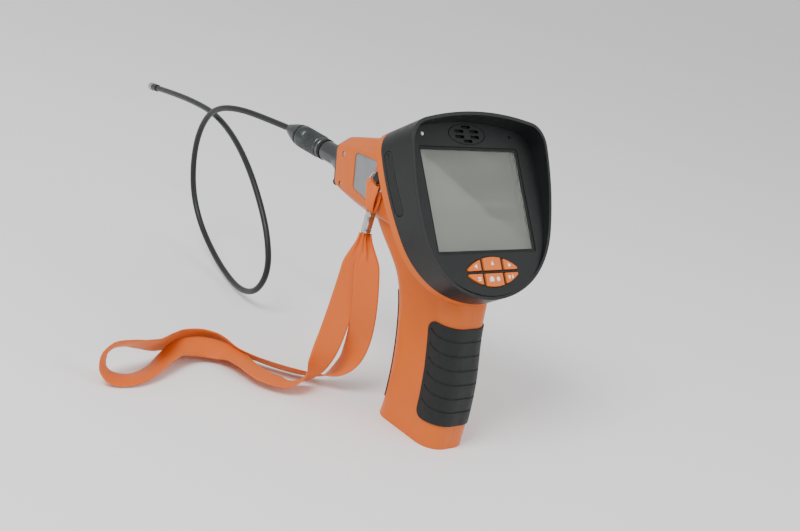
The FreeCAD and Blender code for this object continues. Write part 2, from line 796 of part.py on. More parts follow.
card_case = socket_block(0, 13.5, CARD_MIDDLE, 13.0, 0, 2.0)
card_mouth = socket_block(-1, 11, CARD_MIDDLE, 11.2, 0.5, 1.5)
solid_node("card_socket", card_case.cut([card_mouth, head_wall]), HEAD)
usb_case = socket_block(0, 9.2, USB_MIDDLE, 7.8, 0, 3.9)
usb_mouth = socket_block(-1, 7, USB_MIDDLE, 6.8, 0.6, 3.3)
usb_tongue = socket_block(0.6, 8, USB_MIDDLE, 4.4, 1.6, 2.3)
solid_node("usb_socket", usb_case.cut([usb_mouth.cut(usb_tongue), head_wall]), HEAD)
jack_case = socket_block(0, 11.5, JACK_MIDDLE, 6.4, 0, 5.2)
jack_mouth = Part.makeCylinder(1.8, 9, Vector(SOCKET_FACE - 1, JACK_MIDDLE, BOARD_TOP + 2.6), RIGHT)
solid_node("video_jack", jack_case.cut([jack_mouth, head_wall]), HEAD)


# ---------------------------------------------------------------- grip pads

def grip_middle(height):
    """The grip's centre line, between its rear and front."""
    for (z0, r0, f0, _), (z1, r1, f1, _) in zip(GRIP_SECTIONS, GRIP_SECTIONS[1:]):
        if z0 <= height <= z1:
            share = (height - z0) / (z1 - z0)
            return (r0 + f0) / 2 + share * ((r1 + f1) - (r0 + f0)) / 2
    raise ValueError(height)


BESIDE_GRIP = -40
ACROSS_GRIP = 80


def side_column(points, radius):
    """A column right across the grip, from a rounded outline seen from its side."""
    wire = rounded([Vector(BESIDE_GRIP, y, z) for y, z in points], radius)
    return prism(wire, ACROSS_GRIP, RIGHT)


PAD_LOW = -35.0
PAD_HIGH = 21.0
PAD_BACK = 8.5
PAD_CORNER = 5.0
PAD_STEPS = 4
GROOVES = 6
GROOVE_FIRST = 8.5
GROOVE_STEP = 8.0
GROOVE_TALL = 1.3
GROOVE_DEPTH = 0.5
GROOVE_LOWEST = 16.5
STRIP_LOW = -40
STRIP_HIGH = 23
STRIP_FRONT = 21.5
STRIP_CORNER = 2.0


def pad_column(back, low, high, radius):
    edge = []
    for i in range(PAD_STEPS + 1):
        z = low + (high - low) * i / PAD_STEPS
        edge.append((grip_middle(z) - back, z))
    return side_column([(-90, low)] + edge + [(-90, high)], radius)


def rear_grip():
    skin = grip_form(size("pad_proud")).cut(grip_form(0.0))
    shape = skin.common(pad_column(PAD_BACK, PAD_LOW, PAD_HIGH, PAD_CORNER))
    groove_floor = grip_form(size("pad_proud") - GROOVE_DEPTH)
    for i in range(GROOVES):
        z = PAD_LOW + GROOVE_FIRST + i * GROOVE_STEP
        middle = grip_middle(z) - GROOVE_LOWEST
        ends = [Vector(BESIDE_GRIP, middle - 30, z + 15), Vector(BESIDE_GRIP, middle, z),
                Vector(BESIDE_GRIP, middle + 6, z + 2)]
        band = []
        for rise in (0, GROOVE_TALL):
            band.append([p + Vector(0, 0, rise) for p in ends])
        arc_low = Part.Arc(*band[0]).toShape()
        arc_high = Part.Arc(*band[1]).toShape()
        close_a = Part.LineSegment(band[0][2], band[1][2]).toShape()
        close_b = Part.LineSegment(band[1][0], band[0][0]).toShape()
        groove = prism(Part.Wire([arc_low, close_a, arc_high, close_b]), ACROSS_GRIP, RIGHT)
        shape = shape.cut(groove.cut(groove_floor))
    return shape


solid_node("rear_grip", rear_grip())


def front_grip():
    skin = grip_form(size("strip_proud")).cut(grip_form(0.0))
    edge = []
    for i in range(PAD_STEPS + 1):
        z = STRIP_LOW + (STRIP_HIGH - STRIP_LOW) * i / PAD_STEPS
        edge.append((grip_middle(z) + STRIP_FRONT, z))
    return skin.common(side_column([(90, STRIP_LOW)] + edge + [(90, STRIP_HIGH)], STRIP_CORNER))


solid_node("front_grip", front_grip())


# ---------------------------------------------------------------- battery

CELL_BACK = -5.0
CELL_BASE = -43.5
cell = doc.addObject("Part::Cylinder", "battery_cell")
cell.setExpression("Radius", "sizes.cell_radius")
cell.setExpression("Height", "sizes.cell_long")
cell.Placement = Placement(Vector(0, CELL_BACK, CELL_BASE), Rotation())
keep(cell, "battery_cell")

tray = doc.addObject("Part::Cylinder", "holder_outer")
tray.setExpression("Radius", "sizes.cell_radius + sizes.holder_wall")
tray.setExpression("Height", "sizes.cell_long + 2 * sizes.holder_wall")
TRAY_WRAP = 220
tray.Angle = TRAY_WRAP
tray_room = doc.addObject("Part::Cylinder", "holder_room")
tray_room.setExpression("Radius", "sizes.cell_radius")
tray_room.setExpression("Height", "sizes.cell_long")
tray_room.setExpression("Placement.Base.z", "sizes.holder_wall")
holder = doc.addObject("Part::Cut", "battery_holder")
holder.Base = tray
holder.Tool = tray_room
holder.Placement = Placement(Vector(0, CELL_BACK, CELL_BASE - size("holder_wall")), Rotation(UP, -20))
keep(holder, "battery_holder")


# ---------------------------------------------------------------- nose, socket and coupling

def nose_cone():
    plate = prism(nose_wire(0.6, 0.0), 1.6, NOSE_FRAME.Rotation.multVec(FORWARD))
    base = Part.Ellipse(ORIGIN, 15.4, 14.0)
    base_wire = Part.Wire([base.toShape()])
    base_wire.Placement = NOSE_FRAME.multiply(Placement(Vector(0, 1.4, -1.0), Rotation(RIGHT, -90)))
    end_ring = Part.Wire([Part.Circle(ORIGIN, UP, size("socket_radius") + 0.5).toShape()])
    cone_tip = Vector(0, size("cone_end"), size("probe_height"))
    end_ring.Placement = Placement(cone_tip, Rotation(RIGHT, -90))
    cone = Part.makeLoft([base_wire, end_ring], True, True)
    shape = plate.fuse(cone)
    bore = Part.makeCylinder(size("thread_radius"), 40, Vector(0, 90, size("probe_height")), FORWARD)
    return shape.cut(bore)


cone_shape = nose_cone()
solid_node("nose_cone", cone_shape)

plug_bore = size("plug_radius") + 0.1
solid_node("probe_socket", turned([
    (92, plug_bore), (92, size("thread_radius")),
    (size("cone_end"), size("thread_radius")), (size("cone_end"), size("socket_radius")),
    (size("socket_end"), size("socket_radius")), (size("socket_end"), size("thread_radius")),
    (size("thread_end"), size("thread_radius")), (size("thread_end"), plug_bore)]))
solid_node("socket_insert", turned([(94, 0.0), (94, plug_bore), (112, plug_bore), (112, 0.0)]))
SEAL_END = size("nut_start") - 0.5
seal_radius = size("nut_radius") - 0.4
solid_node("seal_ring", turned([
    (size("socket_end"), size("thread_radius")), (size("socket_end"), seal_radius),
    (SEAL_END, seal_radius), (SEAL_END, size("thread_radius"))]))

FLANGE_START = size("thread_end") + 0.3
FLANGE_END = FLANGE_START + 2.6
NUT_SHOULDER = FLANGE_END + 0.5
nut_radius = size("nut_radius")
solid_node("coupling_nut", turned([
    (size("nut_start"), size("nut_bore_radius")), (size("nut_start"), nut_radius - 0.9),
    (size("nut_start") + 0.4, nut_radius - 0.5), (size("nut_start") + 2.6, nut_radius - 0.5),
    (size("nut_start") + 3.2, nut_radius), (size("nut_end") - 1.0, nut_radius),
    (size("nut_end"), nut_radius - 0.8), (size("nut_end"), size("nut_neck_radius")),
    (NUT_SHOULDER, size("nut_neck_radius")), (NUT_SHOULDER, size("nut_bore_radius"))]))
solid_node("probe_plug", turned([
    (114, 0.0), (114, size("plug_radius")), (FLANGE_START, size("plug_radius")),
    (FLANGE_START, size("nut_bore_radius") - 0.4), (FLANGE_END, size("nut_bore_radius") - 0.4),
    (FLANGE_END, 0.0)]))
SLEEVE_START = size("nut_end") + 0.5
solid_node("probe_sleeve", turned([
    (FLANGE_END, 0.0), (FLANGE_END, size("neck_radius")), (SLEEVE_START, size("neck_radius")),
    (SLEEVE_START, nut_radius - 0.6), (SLEEVE_START + 1.0, nut_radius - 0.4),
    (SLEEVE_START + 6.0, 5.4), (size("sleeve_end") - 0.6, size("probe_radius") + 0.9),
    (size("sleeve_end"), size("probe_radius") + 0.5), (size("sleeve_end"), 0.0)]))

plug_ball = Part.makeSphere(2.5, Vector(-12.0, 102.2, 60.6))
plug_ball = plug_ball.cut(prism(nose_wire(-4.0, 1.6), -30, NOSE_FRAME.Rotation.multVec(FORWARD)))
plug_ball = plug_ball.cut(cone_shape)
solid_node("nose_plug", plug_ball)


# ---------------------------------------------------------------- probe and strap routes

def tube(route, radius, title):
    """A round tube of straight runs joined by tangent arcs, with its wire and its radii printed."""
    points = [Vector(*p) for p in route]
    runs = [(b - a).Length for a, b in zip(points, points[1:])]
    edges = []
    radii = []
    last = points[0]
    for i in range(1, len(points) - 1):
        back = (points[i - 1] - points[i]).normalize()
        ahead = (points[i + 1] - points[i]).normalize()
        turn = math.pi - back.getAngle(ahead)
        reach = 0.45 * min(runs[i - 1], runs[i])
        bend = reach / math.tan(turn / 2)
        inward = (back + ahead).normalize()
        centre = points[i] + inward * (bend / math.cos(turn / 2))
        start = points[i] + back * reach
        end = points[i] + ahead * reach
        edges.append(Part.LineSegment(last, start).toShape())
        edges.append(Part.Arc(start, centre - inward * bend, end).toShape())
        radii.append(round(bend, 1))
        last = end
    edges.append(Part.LineSegment(last, points[-1]).toShape())
    path = Part.Wire(edges)
    first = points[1] - points[0]
    section = Part.Wire([Part.Circle(points[0], first, radius).toShape()])
    shape = path.makePipeShell([section], True, False)
    expected = math.pi * radius ** 2 * path.Length
    print(f"{title}: length {path.Length:.1f} mm, radii {radii}")
    print(f"{title}: volume {shape.Volume:.0f} of {expected:.0f} mm3")
    if abs(shape.Volume / expected - 1) > 0.01:
        raise RuntimeError(f"{title}: the tube's volume is wrong")
    return shape


# The gooseneck leaves the sleeve, drops in one open loop and comes back across itself.
GOOSENECK = [
    (0, 170.5, 70), (0, 198, 67.5), (-2, 221, 65), (-2, 242, 59), (1, 258, 48), (5, 269, 30),
    (9, 273, 9), (11, 268, -12), (11, 254, -28), (8, 231, -39), (2, 202, -45), (-5, 173, -45),
    (-9, 152, -36), (-9, 146, -18), (-8, 156, 1), (-6, 173, 17), (-3, 198, 34), (2, 228, 45),
    (8, 261, 49), (13, 295, 46), (18, 328, 41), (22, 352, 36.5),
]
solid_node("gooseneck", tube(GOOSENECK, size("probe_radius"), "gooseneck"))

tip = Vector(*GOOSENECK[-1])
tip_along = (tip - Vector(*GOOSENECK[-2])).normalize()
TIP_FRAME = Placement(tip, Rotation(UP, tip_along))
collar = body_node("probe_collar", TIP_FRAME)
outline = sketch_on(collar, "collar_outline")
draw_circle(outline, "sizes.tip_radius - 0.3")
pad(collar, outline, "sizes.collar_long", "collar_pad")

TIP_BASE = size("collar_long")
TIP_WALL = 0.5
TIP_CHAMFER = 0.3
ROOM_BASE = TIP_BASE + TIP_WALL
ROOM_TOP = TIP_BASE + size("tip_long")
tip_shell = Part.makeCylinder(size("tip_radius"), size("tip_long"), Vector(0, 0, TIP_BASE))
rim_edges = [e for e in tip_shell.Edges if e.BoundBox.ZMin > ROOM_TOP - 0.01]
tip_shell = tip_shell.makeChamfer(TIP_CHAMFER, rim_edges)
tip_room = Part.makeCylinder(size("tip_radius") - TIP_WALL, size("tip_long"), Vector(0, 0, ROOM_BASE))
solid_node("camera_head", tip_shell.cut(tip_room), TIP_FRAME)
SENSOR_WIDE = 2.8
SENSOR_THICK = 1.6
LENS_RADIUS = 1.0
LENS_TOP = ROOM_TOP - 0.3
sensor_corner = Vector(-SENSOR_WIDE / 2, -SENSOR_WIDE / 2, ROOM_BASE)
solid_node("image_sensor", Part.makeBox(SENSOR_WIDE, SENSOR_WIDE, SENSOR_THICK, sensor_corner), TIP_FRAME)
lens_base = ROOM_BASE + SENSOR_THICK
lens = Part.makeCylinder(LENS_RADIUS, LENS_TOP - lens_base, Vector(0, 0, lens_base))
solid_node("probe_lens", lens, TIP_FRAME)
LED_DISC = 0.4
LED_RING = 1.7
LED_THICK = 0.5
leds = []
for i in range(6):
    angle = math.radians(60 * i)
    spot = Vector(LED_RING * math.cos(angle), LED_RING * math.sin(angle), ROOM_TOP - 0.9)
    leds.append(Part.makeCylinder(LED_DISC, LED_THICK, spot))
solid_node("probe_leds", Part.makeCompound(leds), TIP_FRAME)

# Wrist strap: both ends of one ribbon leave the crimp, reach the floor and run to one end loop.
STRAP = [
    (-31.9, 49, 49.9), (-31.6, 48.5, 33), (-32, 49, 14), (-33, 49.5, -4), (-35, 49.5, -21),
    (-40, 49, -35.5), (-49, 49, -43.5), (-60, 51, -44.6), (-69, 60, -43.8), (-71.5, 72.5, -42.8),
    (-72.5, 83, -42.2), (-76, 92.5, -43), (-86, 98, -42.3), (-98.5, 99, -42.1),
    (-110.2, 94.9, -43.2), (-121.5, 88, -45.4), (-133.3, 82.1, -47.3), (-144.7, 78.9, -48.3),
    (-153.8, 79.9, -48.2), (-159.8, 81.9, -45.6), (-162.4, 83.7, -40.8), (-161.8, 84.9, -35.4),
    (-157.7, 86, -31.4), (-150.6, 86.7, -30.2), (-140.3, 88.5, -31.6), (-128.3, 91.8, -34.8),
    (-114.3, 98.8, -38.4), (-99, 107.8, -41.6), (-88, 109, -41.2), (-77, 108, -41.6),
    (-69, 101, -41.5), (-64.5, 90.5, -44), (-58, 79.5, -44.5), (-49, 69, -45), (-39, 60, -45.2),
    (-28.5, 52.5, -44.8), (-20.5, 48, -37), (-19, 43, -25.5), (-21.5, 39.5, -11), (-24.7, 38, 4),
    (-27, 39.5, 19.5), (-28, 44, 35), (-28.1, 48.8, 49.4),
]
ribbon_area = size("ribbon_wide") * size("ribbon_thick")
solid_node("strap", tube(STRAP, math.sqrt(ribbon_area / math.pi), "strap"))


# ---------------------------------------------------------------- strap fittings

BAR_LOW = Vector(-29, 58.4, 79.3)
BAR_END = Vector(-29, 47.6, 74.9)
bar_along = (BAR_END - BAR_LOW).normalize()
bar_up = Vector(0, -bar_along.z, bar_along.y)
if bar_up.z < 0:
    bar_up = bar_up * -1
CLIP_TALL = 6.0
ring_points = [BAR_LOW, BAR_END, BAR_END + bar_up * CLIP_TALL, BAR_LOW + bar_up * CLIP_TALL]
ring_path = rounded(ring_points, 1.8)
ring_start = ring_path.Edges[1]
ring_point = ring_start.Vertexes[0].Point
ring_along = ring_start.tangentAt(ring_start.FirstParameter)
ring_circle = Part.Circle(ring_point, ring_along, size("clip_wire_radius"))
ring_section = Part.Wire([ring_circle.toShape()])
ring_order = ring_path.Edges[1:] + ring_path.Edges[:1]
clip = Part.Wire(ring_order).makePipeShell([ring_section], True, False)
solid_node("strap_clip", clip)

BAR_GAP = 0.02
eye = (BAR_LOW + BAR_END) * 0.5 + bar_up * CLIP_TALL
lug = Part.makeBox(11, 5, 4.6, Vector(-7, -2.5, -2.3))
lug.Placement = Placement(eye + Vector(4, 0, 0), Rotation(FORWARD, bar_along * -1))
lug = lug.makeFillet(1.0, [e for e in lug.Edges if e.BoundBox.XMax < eye.x - 2.9])
lug_hole = Part.makeCylinder(size("clip_wire_radius") + BAR_GAP, 12, eye - bar_along * 6, bar_along)
solid_node("strap_lug", lug.cut([lug_hole, outer]))

loop_top_middle = (BAR_LOW + BAR_END) * 0.5
CRIMP_BASE = 50
CRIMP_TOP = CRIMP_BASE + size("crimp_tall")
CRIMP_MIDDLE = Vector(-30, 49, 0)
LOOP_WIDE = 7.8
LOOP_DEEP = 3.4


def level_box(middle, wide, deep, height, lean):
    half = wide / 2
    rise = deep / 2
    corners = [middle + Vector(-rise, -half, -half * lean), middle + Vector(rise, -half, -half * lean),
               middle + Vector(rise, half, half * lean), middle + Vector(-rise, half, half * lean)]
    corners = [Vector(c.x, c.y, c.z + height) for c in corners]
    return Part.makePolygon(corners + [corners[0]])


loop_lean = (BAR_LOW.z - BAR_END.z) / (BAR_LOW.y - BAR_END.y)
upper_loop = level_box(loop_top_middle, LOOP_WIDE, LOOP_DEEP, 1.2, loop_lean)
lower_loop = level_box(CRIMP_MIDDLE, size("crimp_wide") - 0.6, 2.6, CRIMP_TOP, 0.0)
loop = Part.makeLoft([lower_loop, upper_loop], True, True)
bar_room = Part.makeCylinder(
    size("clip_wire_radius") + BAR_GAP, 20, loop_top_middle - bar_along * 10, bar_along)
solid_node("strap_loop", loop.cut([bar_room, clip]))

crimp = body_node("strap_crimp", Placement(CRIMP_MIDDLE + Vector(0, 0, CRIMP_BASE), Rotation()))
outline = sketch_on(crimp, "crimp_outline")
draw_box(outline, "sizes.crimp_deep", "sizes.crimp_wide")
pad(crimp, outline, "sizes.crimp_tall", "crimp_pad")


# ---------------------------------------------------------------- checks and files

doc.recompute()
for thing in doc.Objects:
    if "Invalid" in thing.State or "Error" in thing.State:
        raise RuntimeError(f"{thing.Label}: {thing.State}")
for node in nodes:
    shape = node.Shape
    if shape.isNull() or not shape.isValid() or shape.Volume <= 0:
        raise RuntimeError(f"{node.Label}: the shape is not a valid solid")
    shape.exportStep(f"parts/{node.Label}.step")
    print(f"{node.Label:18} {len(shape.Solids)} solid(s) {shape.Volume:10.1f} mm3")
print(len(nodes), "nodes")
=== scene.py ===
import bpy
import math
from mathutils import Matrix, Vector


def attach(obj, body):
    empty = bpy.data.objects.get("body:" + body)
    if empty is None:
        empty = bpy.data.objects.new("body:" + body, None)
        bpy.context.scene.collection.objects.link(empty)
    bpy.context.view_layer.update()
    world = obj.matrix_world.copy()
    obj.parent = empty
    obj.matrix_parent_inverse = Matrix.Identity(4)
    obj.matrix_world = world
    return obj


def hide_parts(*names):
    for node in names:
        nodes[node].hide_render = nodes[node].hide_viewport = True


# Looks of a handheld inspection camera with a gooseneck probe and a ribbon wrist strap. Metres.

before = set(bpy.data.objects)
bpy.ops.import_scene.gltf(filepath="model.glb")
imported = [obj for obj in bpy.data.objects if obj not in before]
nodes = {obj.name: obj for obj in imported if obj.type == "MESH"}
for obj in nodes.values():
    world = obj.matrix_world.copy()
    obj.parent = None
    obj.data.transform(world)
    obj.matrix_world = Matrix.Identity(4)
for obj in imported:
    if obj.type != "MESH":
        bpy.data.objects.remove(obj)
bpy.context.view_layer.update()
MM = 0.001
UP = Vector((0, 0, 1))
FLOOR_HEIGHT = -50 * MM
HOUSING = "housing"


# ---------------------------------------------------------------- camera

CAMERA_PLACE = Vector((-0.5668, -0.492, 0.2888))
CAMERA_RIGHT = Vector((0.724, -0.640, 0.260)).normalized()
CAMERA_BACK = Vector((-0.689, -0.653, 0.3145))
CAMERA_BACK = (CAMERA_BACK - CAMERA_RIGHT * CAMERA_BACK.dot(CAMERA_RIGHT)).normalized()
CAMERA_UP = CAMERA_BACK.cross(CAMERA_RIGHT)
CAMERA_LENS = 62.98


def add_camera():
    data = bpy.data.cameras.new("camera")
    data.lens = CAMERA_LENS
    data.sensor_width = 36.0
    data.clip_start = 0.01
    camera = bpy.data.objects.new("camera", data)
    turn = Matrix((CAMERA_RIGHT, CAMERA_UP, CAMERA_BACK)).transposed().to_4x4()
    camera.matrix_world = Matrix.Translation(CAMERA_PLACE) @ turn
    bpy.context.scene.collection.objects.link(camera)
    bpy.context.scene.camera = camera


add_camera()


# ---------------------------------------------------------------- mesh helpers

def add_mesh(name, points, faces, body=HOUSING, material=None, smooth=True):
    mesh = bpy.data.meshes.new(name)
    mesh.from_pydata([tuple(p) for p in points], [], faces)
    mesh.update()
    piece = bpy.data.objects.new(name, mesh)
    bpy.context.scene.collection.objects.link(piece)
    if smooth:
        mesh.shade_smooth()
    if material:
        mesh.materials.append(material)
    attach(piece, body)
    return piece


def spline_points(name, route):
    """Points read along the smooth NURBS line through a route given in millimetres."""
    curve = bpy.data.curves.new(name, "CURVE")
    curve.dimensions = "3D"
    curve.resolution_u = 12
    spline = curve.splines.new("NURBS")
    spline.points.add(len(route) - 1)
    for point, place in zip(spline.points, route):
        point.co = (place[0] * MM, place[1] * MM, place[2] * MM, 1)
    spline.order_u = 3
    spline.use_endpoint_u = True
    holder = bpy.data.objects.new(name, curve)
    bpy.context.scene.collection.objects.link(holder)
    bpy.context.view_layer.update()
    mesh = bpy.data.meshes.new_from_object(holder)
    points = [v.co.copy() for v in mesh.vertices]
    bpy.data.objects.remove(holder)
    bpy.data.meshes.remove(mesh)
    return points


def evenly(points, step, *others):
    """The same line with points an even step apart, and other vectors along it spaced with them."""
    lengths = [0.0]
    for a, b in zip(points, points[1:]):
        lengths.append(lengths[-1] + (b - a).length)
    count = max(2, round(lengths[-1] / step))
    spaced = [[] for _ in range(1 + len(others))]
    at = 0
    for i in range(count + 1):
        target = lengths[-1] * i / count
        while at < len(points) - 2 and lengths[at + 1] < target:
            at += 1
        span = lengths[at + 1] - lengths[at]
        share = min(1.0, (target - lengths[at]) / span) if span > 0 else 0.0
        for line, vectors in zip(spaced, (points, *others)):
            line.append(vectors[at].lerp(vectors[at + 1], share))
    return spaced if others else spaced[0]


def along_spline(values, count):
    """Values given at a smooth line's route points, spread to the points that are read from it."""
    last = len(values) - 1
    middles = [0.0] + [i - 0.5 for i in range(1, last)] + [last - 1.0]
    spread = []
    at = 0
    for i in range(count):
        place = middles[-1] * i / (count - 1)
        while at < last - 1 and middles[at + 1] < place:
            at += 1
        share = (place - middles[at]) / (middles[at + 1] - middles[at])
        spread.append(values[at].lerp(values[at + 1], min(1.0, share)))
    return spread


def tangents(points):
    last = len(points) - 1
    return [(points[min(i + 1, last)] - points[max(i - 1, 0)]).normalized()
            for i in range(last + 1)]


def grid_faces(rows, columns):
    """Quads over rows of vertices, with each row's last vertex joined to its first."""
    faces = []
    for i in range(rows - 1):
        for j in range(columns):
            k = (j + 1) % columns
            row, above = i * columns, (i + 1) * columns
            faces.append((row + j, row + k, above + k, above + j))
    return faces


def with_caps(faces, rows, columns):
    first = tuple(reversed(range(columns)))
    last = tuple((rows - 1) * columns + j for j in range(columns))
    return faces + [first, last]


def add_uv(piece, pairs):
    layer = piece.data.uv_layers.new(name="UVMap")
    for loop in piece.data.loops:
        layer.data[loop.index].uv = pairs[loop.vertex_index]


# ---------------------------------------------------------------- materials

class Finish:
    """A node material whose parts are added by name."""

    def __init__(self, name, colour, rough, metal=0.0, **sockets):
        self.material = bpy.data.materials.new(name)
        self.material.use_nodes = True
        self.tree = self.material.node_tree
        self.shader = self.tree.nodes["Principled BSDF"]
        self.colour = colour
        self.shader.inputs["Base Color"].default_value = (*colour, 1)
        self.shader.inputs["Roughness"].default_value = rough
        self.shader.inputs["Metallic"].default_value = metal
        for socket, value in sockets.items():
            self.shader.inputs[socket.replace("_", " ")].default_value = value
        self.rough = rough
        self.place = self.tree.nodes.new("ShaderNodeTexCoord")
        self.bump = None

    def add(self, kind, **values):
        node = self.tree.nodes.new(kind)
        for key, value in values.items():
            setattr(node, key, value)
        return node

    def noise(self, scale, detail=3.0, rough=0.55, space="Object"):
        node = self.add("ShaderNodeTexNoise")
        node.inputs["Scale"].default_value = scale
        node.inputs["Detail"].default_value = detail
        node.inputs["Roughness"].default_value = rough
        self.tree.links.new(self.place.outputs[space], node.inputs["Vector"])
        return node.outputs["Fac"]

    def vary_colour(self, factor, spread):
        """Shifts the base colour a little, darker and lighter, by a factor."""
        ramp = self.add("ShaderNodeValToRGB")
        dark = [max(0.0, c * (1 - spread)) for c in self.colour]
        light = [min(1.0, c * (1 + spread)) for c in self.colour]
        ramp.color_ramp.elements[0].position = 0.3
        ramp.color_ramp.elements[1].position = 0.7
        ramp.color_ramp.elements[0].color = (*dark, 1)
        ramp.color_ramp.elements[1].color = (*light, 1)
        self.tree.links.new(factor, ramp.inputs["Fac"])
        self.tree.links.new(ramp.outputs["Color"], self.shader.inputs["Base Color"])

    def vary_rough(self, factor, spread):
        span = self.add("ShaderNodeMapRange")
        span.inputs["From Min"].default_value = 0.3
        span.inputs["From Max"].default_value = 0.7
        span.inputs["To Min"].default_value = max(0.02, self.rough - spread)
        span.inputs["To Max"].default_value = min(1.0, self.rough + spread)
        self.tree.links.new(factor, span.inputs["Value"])
        self.tree.links.new(span.outputs["Result"], self.shader.inputs["Roughness"])

    def soften(self, radius):
        """Rounds the sharp edges of a moulding in its shading."""
        edge = self.add("ShaderNodeBevel", samples=4)
        edge.inputs["Radius"].default_value = radius
        self.push_normal(edge.outputs["Normal"])

    def push_normal(self, socket):
        """Feeds a normal to the lowest bump so far, or to the shader if there is none."""
        if self.bump:
            self.tree.links.new(socket, self.bump.inputs["Normal"])
        else:
            self.tree.links.new(socket, self.shader.inputs["Normal"])

    def relief(self, height, strength, distance):
        bump = self.add("ShaderNodeBump")
        bump.inputs["Strength"].default_value = strength
        bump.inputs["Distance"].default_value = distance
        self.tree.links.new(height, bump.inputs["Height"])
        self.push_normal(bump.outputs["Normal"])
        self.bump = bump


def moulded(name, colour, rough, grain, spread=0.05, edge=0.0006, **sockets):
    """Injection-moulded plastic: spark-eroded grain, slow colour drift and softened edges."""
    finish = Finish(name, colour, rough, **sockets)
    finish.vary_colour(finish.noise(35.0), spread)
    finish.vary_rough(finish.noise(220.0), 0.06)
    finish.relief(finish.noise(grain, 2.0), 0.25, 0.00006)
    finish.soften(edge)
    return finish.material


def metal(name, colour, rough, grain=500.0, edge=0.0002):
    finish = Finish(name, colour, rough, metal=1.0)
    finish.vary_colour(finish.noise(90.0), 0.06)
    finish.vary_rough(finish.noise(grain), 0.07)
    finish.relief(finish.noise(1800.0), 0.12, 0.00003)
    finish.soften(edge)
    return finish.material


def rubber(name, colour, rough=0.72):
    finish = Finish(name, colour, rough, Sheen_Weight=0.05, Sheen_Roughness=0.5,
                    Specular_IOR_Level=0.35)
    finish.vary_colour(finish.noise(60.0), 0.12)
    finish.vary_rough(finish.noise(300.0), 0.06)
    finish.relief(finish.noise(2600.0, 1.0), 0.3, 0.00005)
    finish.soften(0.0005)
    return finish.material


def woven():
    """Satin ribbon: fine ribs across, yarns along and a fleck drawn out along them."""
    finish = Finish("ribbon_weave", (0.68, 0.125, 0.006), 0.55,
                    Sheen_Weight=0.5, Sheen_Roughness=0.35)
    finish.shader.inputs["Sheen Tint"].default_value = (1.0, 0.55, 0.25, 1)
    stretch = finish.add("ShaderNodeMapping")
    finish.tree.links.new(finish.place.outputs["UV"], stretch.inputs["Vector"])
    stretch.inputs["Scale"].default_value = (1.0, 14.0, 1.0)
    fleck = finish.add("ShaderNodeTexNoise")
    fleck.inputs["Scale"].default_value = 0.9
    finish.tree.links.new(stretch.outputs["Vector"], fleck.inputs["Vector"])
    finish.vary_colour(fleck.outputs["Fac"], 0.13)
    ribs = finish.add("ShaderNodeTexWave", bands_direction="X")
    ribs.inputs["Scale"].default_value = 0.55
    finish.tree.links.new(finish.place.outputs["UV"], ribs.inputs["Vector"])
    yarns = finish.add("ShaderNodeTexWave", bands_direction="Y")
    yarns.inputs["Scale"].default_value = 0.75
    finish.tree.links.new(finish.place.outputs["UV"], yarns.inputs["Vector"])
    finish.relief(ribs.outputs["Fac"], 0.35, 0.00008)
    finish.relief(yarns.outputs["Fac"], 0.25, 0.00005)
    finish.vary_rough(fleck.outputs["Fac"], 0.1)
    return finish.material


def display():
    """An unlit panel: grey behind its polariser."""
    finish = Finish("lcd_grey", (0.43, 0.45, 0.405), 0.32, Coat_Weight=0.4, Coat_Roughness=0.1)
    finish.vary_colour(finish.noise(14.0, 1.0), 0.05)
    finish.vary_rough(finish.noise(400.0), 0.03)
    return finish.material


def glazing():
    finish = Finish("window_glass", (0.95, 0.96, 0.95), 0.03, IOR=1.25, Transmission_Weight=1.0)
    finish.vary_rough(finish.noise(30.0), 0.01)
    return finish.material


ORANGE = moulded("orange_plastic", (0.60, 0.115, 0.006), 0.42, 1500.0, 0.045, 0.0009,
                 Specular_IOR_Level=0.35)
BLACK = moulded("black_plastic", (0.009, 0.0108, 0.0112), 0.36, 1700.0, 0.10, 0.0006,
                Specular_IOR_Level=0.34)
BEZEL = moulded("bezel_plastic", (0.009, 0.0105, 0.011), 0.45, 1700.0, 0.10, 0.0004,
                Specular_IOR_Level=0.3)
NOSE = moulded("nose_plastic", (0.028, 0.033, 0.034), 0.32, 1500.0, 0.10, 0.0005)
KEY = moulded("key_plastic", (0.70, 0.145, 0.010), 0.36, 1200.0, 0.04, 0.0003)
ICON = moulded("icon_white", (0.86, 0.86, 0.84), 0.5, 1500.0, 0.03, 0.0001)
RUBBER = rubber("grip_rubber", (0.006, 0.0072, 0.0075), 0.62)
DOOR = rubber("door_rubber", (0.006, 0.0072, 0.0075), 0.6)
SKIN = rubber("probe_skin", (0.010, 0.0115, 0.0125), 0.38)
FOAM = rubber("gasket_foam", (0.010, 0.010, 0.010), 0.8)
PLATE = metal("plate_grey", (0.30, 0.31, 0.325), 0.42, 1400.0)
STEEL = metal("zinc_steel", (0.56, 0.56, 0.57), 0.34)
CHROME = metal("clip_chrome", (0.42, 0.42, 0.43), 0.14)
ANODISED = metal("nut_anodised", (0.085, 0.092, 0.093), 0.32)
RING = metal("nut_ring", (0.13, 0.14, 0.145), 0.3)
SOCKET = metal("socket_metal", (0.11, 0.115, 0.12), 0.22)
TIP = metal("tip_metal", (0.40, 0.41, 0.43), 0.3)
BOARD = moulded("solder_mask", (0.02, 0.13, 0.05), 0.35, 900.0)
CELL = moulded("cell_sleeve", (0.03, 0.10, 0.42), 0.3, 900.0)
LAMP = moulded("lamp_clear", (0.82, 0.85, 0.87), 0.12, 600.0, 0.02, 0.0001, Coat_Weight=0.6)
RIBBON = woven()
LCD = display()
GLASS = glazing()
LENS = Finish("lens_coated", (0.02, 0.025, 0.05), 0.05, Coat_Weight=1.0)
LENS.vary_colour(LENS.noise(900.0), 0.2)

